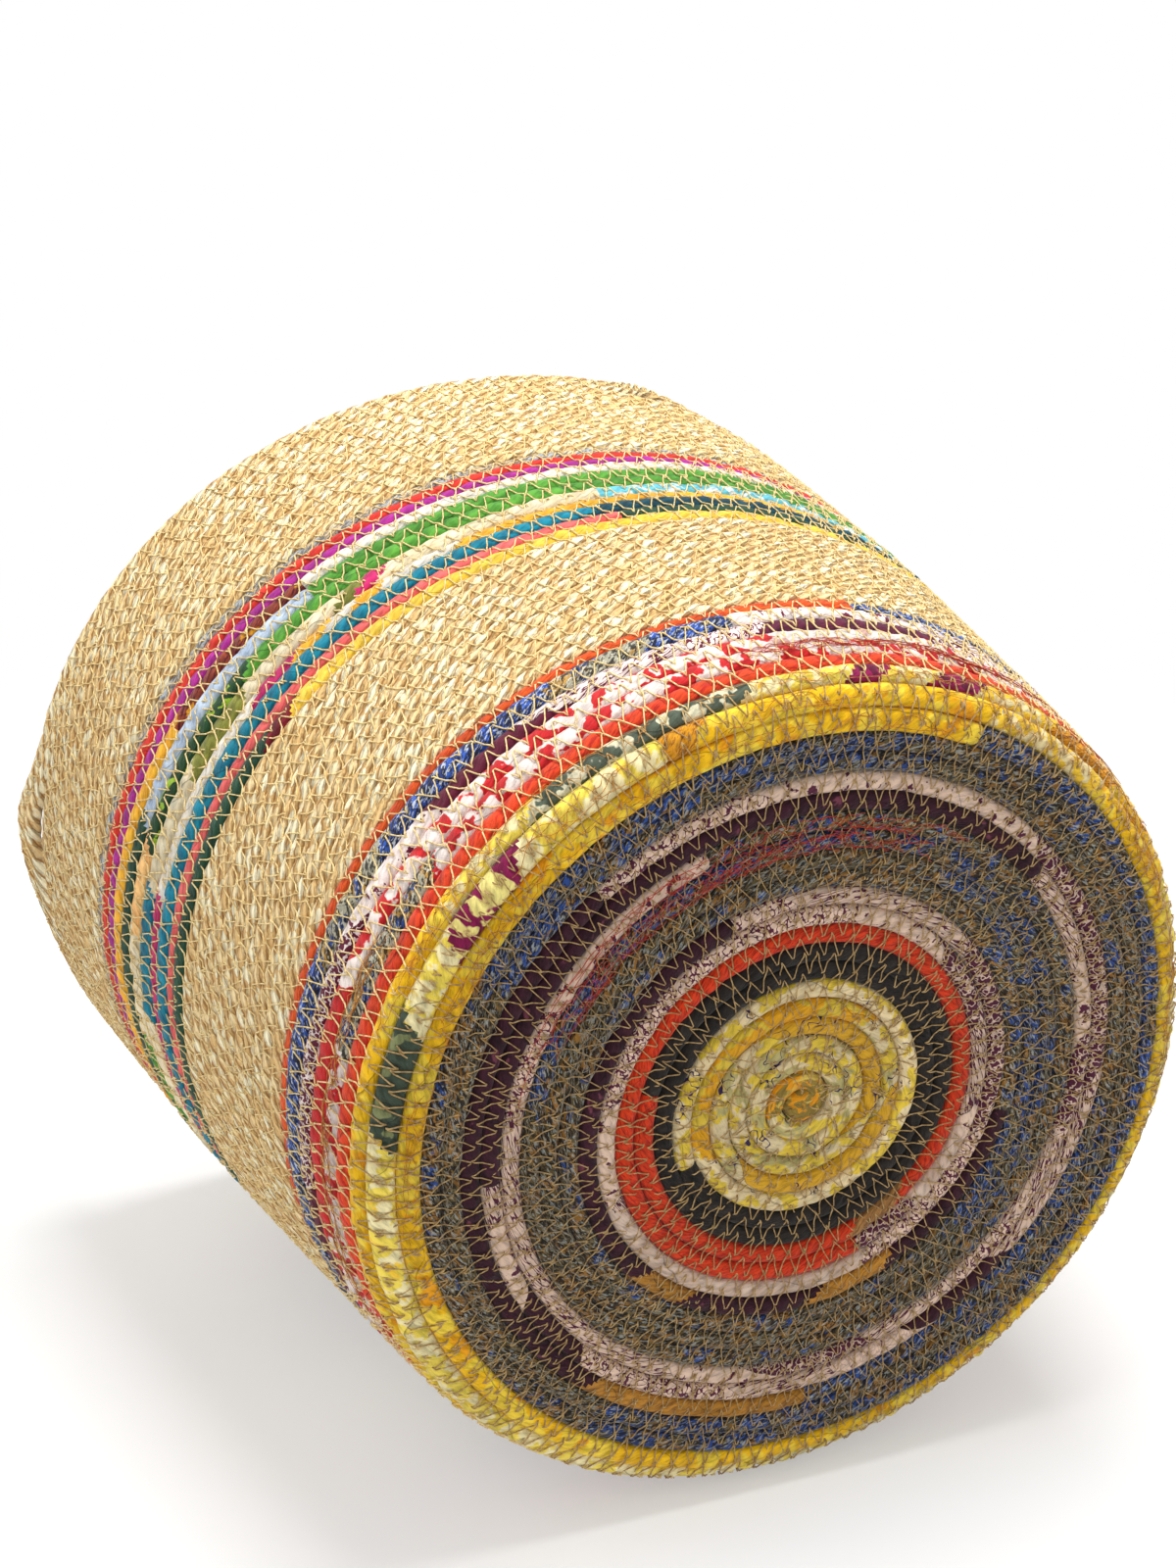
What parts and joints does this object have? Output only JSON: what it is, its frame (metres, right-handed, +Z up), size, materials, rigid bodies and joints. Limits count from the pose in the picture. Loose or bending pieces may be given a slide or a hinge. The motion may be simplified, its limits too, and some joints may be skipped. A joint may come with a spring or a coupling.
{
  "type": "plant pot cover",
  "caption": "Round basket-like cover for a plant pot, coiled from sewn cord with bands of coloured cloth, open at the top, with a small handle on each side.",
  "frame": {"origin": "centre of the spiral on the underside of the base, on the ground", "axes": "+Z up along the axis of the cover, handles to the left and right of -Y, front of the picture towards -Y"},
  "size_m": [0.2999, 0.2897, 0.2698],
  "materials": {
    "yellow_print": "matt cotton strips wound on cord",
    "charcoal_cloth": "matt cotton strips wound on cord",
    "red_cloth": "matt cotton strips wound on cord",
    "rose_print": "matt cotton strips wound on cord",
    "plum_cloth": "matt cotton strips wound on cord",
    "tweed_cloth": "matt cotton strips wound on cord",
    "golden_cloth": "matt cotton strips wound on cord",
    "red_and_white_print": "matt cotton strips wound on cord",
    "plum_dot_print": "matt cotton strips wound on cord",
    "blue_tweed_cloth": "matt cotton strips wound on cord",
    "orange_cloth": "matt cotton strips wound on cord",
    "grass_cord": "matt twisted plant fibre",
    "lemon_cloth": "matt cotton strips wound on cord",
    "bottle_green_cloth": "matt cotton strips wound on cord",
    "coral_cloth": "matt cotton strips wound on cord",
    "teal_cloth": "matt cotton strips wound on cord",
    "sky_print": "matt cotton strips wound on cord",
    "cream_cloth": "matt cotton strips wound on cord",
    "green_cloth": "matt cotton strips wound on cord",
    "pale_blue_cloth": "matt cotton strips wound on cord",
    "rust_print": "matt cotton strips wound on cord",
    "magenta_cloth": "matt cotton strips wound on cord",
    "grey_fleck_cloth": "matt cotton strips wound on cord"
  },
  "bodies": {
    "root": {"centre_fold": "golden_cloth", "yellow_print_base": "yellow_print", "charcoal_base": "charcoal_cloth", "red_base": "red_cloth", "rose_print_inner": "rose_print", "plum_and_ochre_base": "plum_cloth", "tweed_inner": "tweed_cloth", "rose_print_middle": "rose_print", "plum_middle": "plum_cloth", "rose_print_outer": "rose_print", "plum_outer": "plum_cloth", "tweed_outer": "tweed_cloth", "golden_corner": "golden_cloth", "yellow_print_corner": "yellow_print", "yellow_grey_print": "yellow_print", "scarlet_row": "red_cloth", "red_and_white_print": "red_and_white_print", "plum_dot_print": "plum_dot_print", "blue_tweed": "blue_tweed_cloth", "orange_row": "orange_cloth", "lower_grass_start": "grass_cord", "lower_grass_end": "grass_cord", "lemon_row": "lemon_cloth", "bottle_green_row": "bottle_green_cloth", "coral_row": "coral_cloth", "teal_row": "teal_cloth", "amber_row": "golden_cloth", "sky_print_row": "sky_print", "cream_row": "cream_cloth", "green_row": "green_cloth", "pale_blue_row": "pale_blue_cloth", "white_row": "cream_cloth", "rust_print_row": "rust_print", "magenta_row": "magenta_cloth", "red_top_row": "red_cloth", "grey_fleck_row": "grey_fleck_cloth", "upper_grass_start": "grass_cord", "upper_grass_end": "grass_cord", "right_handle": "grass_cord", "left_handle": "grass_cord", "front_rim": "grass_cord", "back_rim": "grass_cord"}
  },
  "joints": []
}
